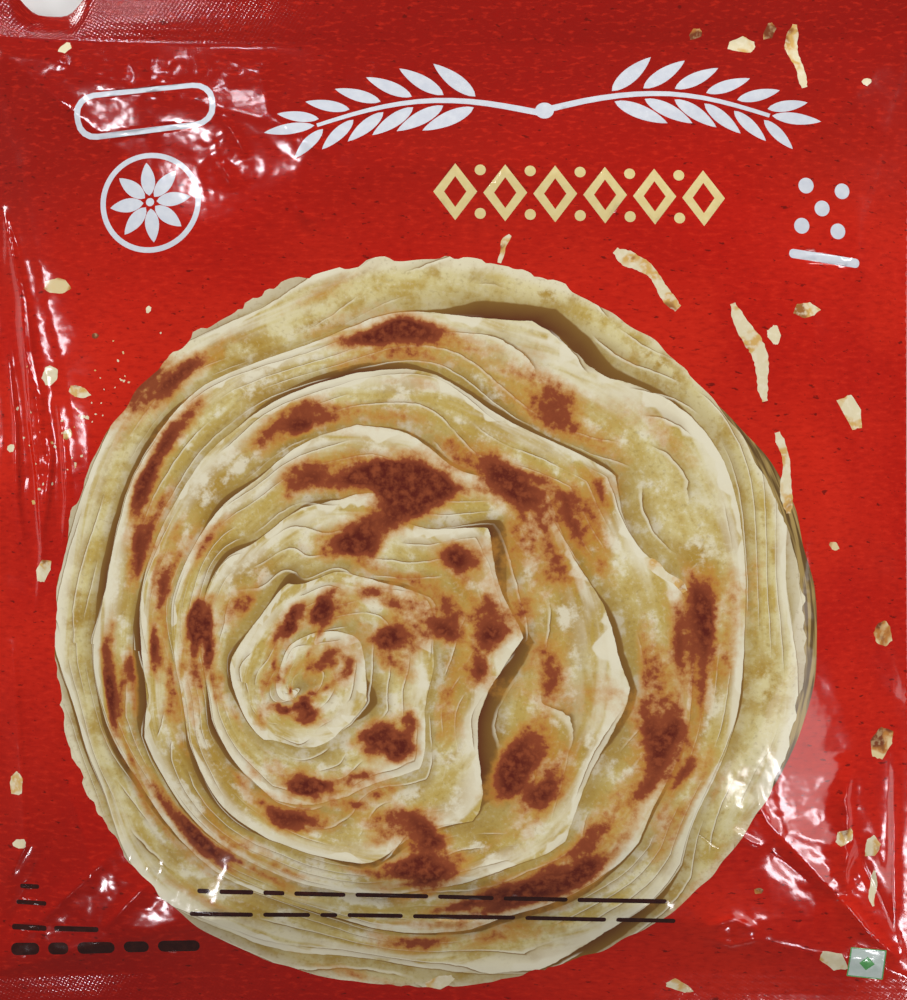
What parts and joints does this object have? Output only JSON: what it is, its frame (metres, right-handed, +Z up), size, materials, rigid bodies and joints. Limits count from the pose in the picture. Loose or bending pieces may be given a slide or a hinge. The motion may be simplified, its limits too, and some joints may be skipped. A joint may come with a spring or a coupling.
{
  "type": "frozen flatbread pack",
  "caption": "Shut pillow pack of printed film drawn tight over a stack of round frozen flatbreads, with crimped end seals and folded sides, lying on its back.",
  "frame": {"origin": "on the surface that the pack lies on, under the middle of its outline", "axes": "+X to the right across the pack's front, +Y towards the top end of its front, +Z up out of the front"},
  "size_m": [0.224, 0.25, 0.0222],
  "materials": {
    "printed_film": "glossy red film with a printed front"
  },
  "bodies": {
    "root": {"pouch": "printed_film"}
  },
  "joints": []
}
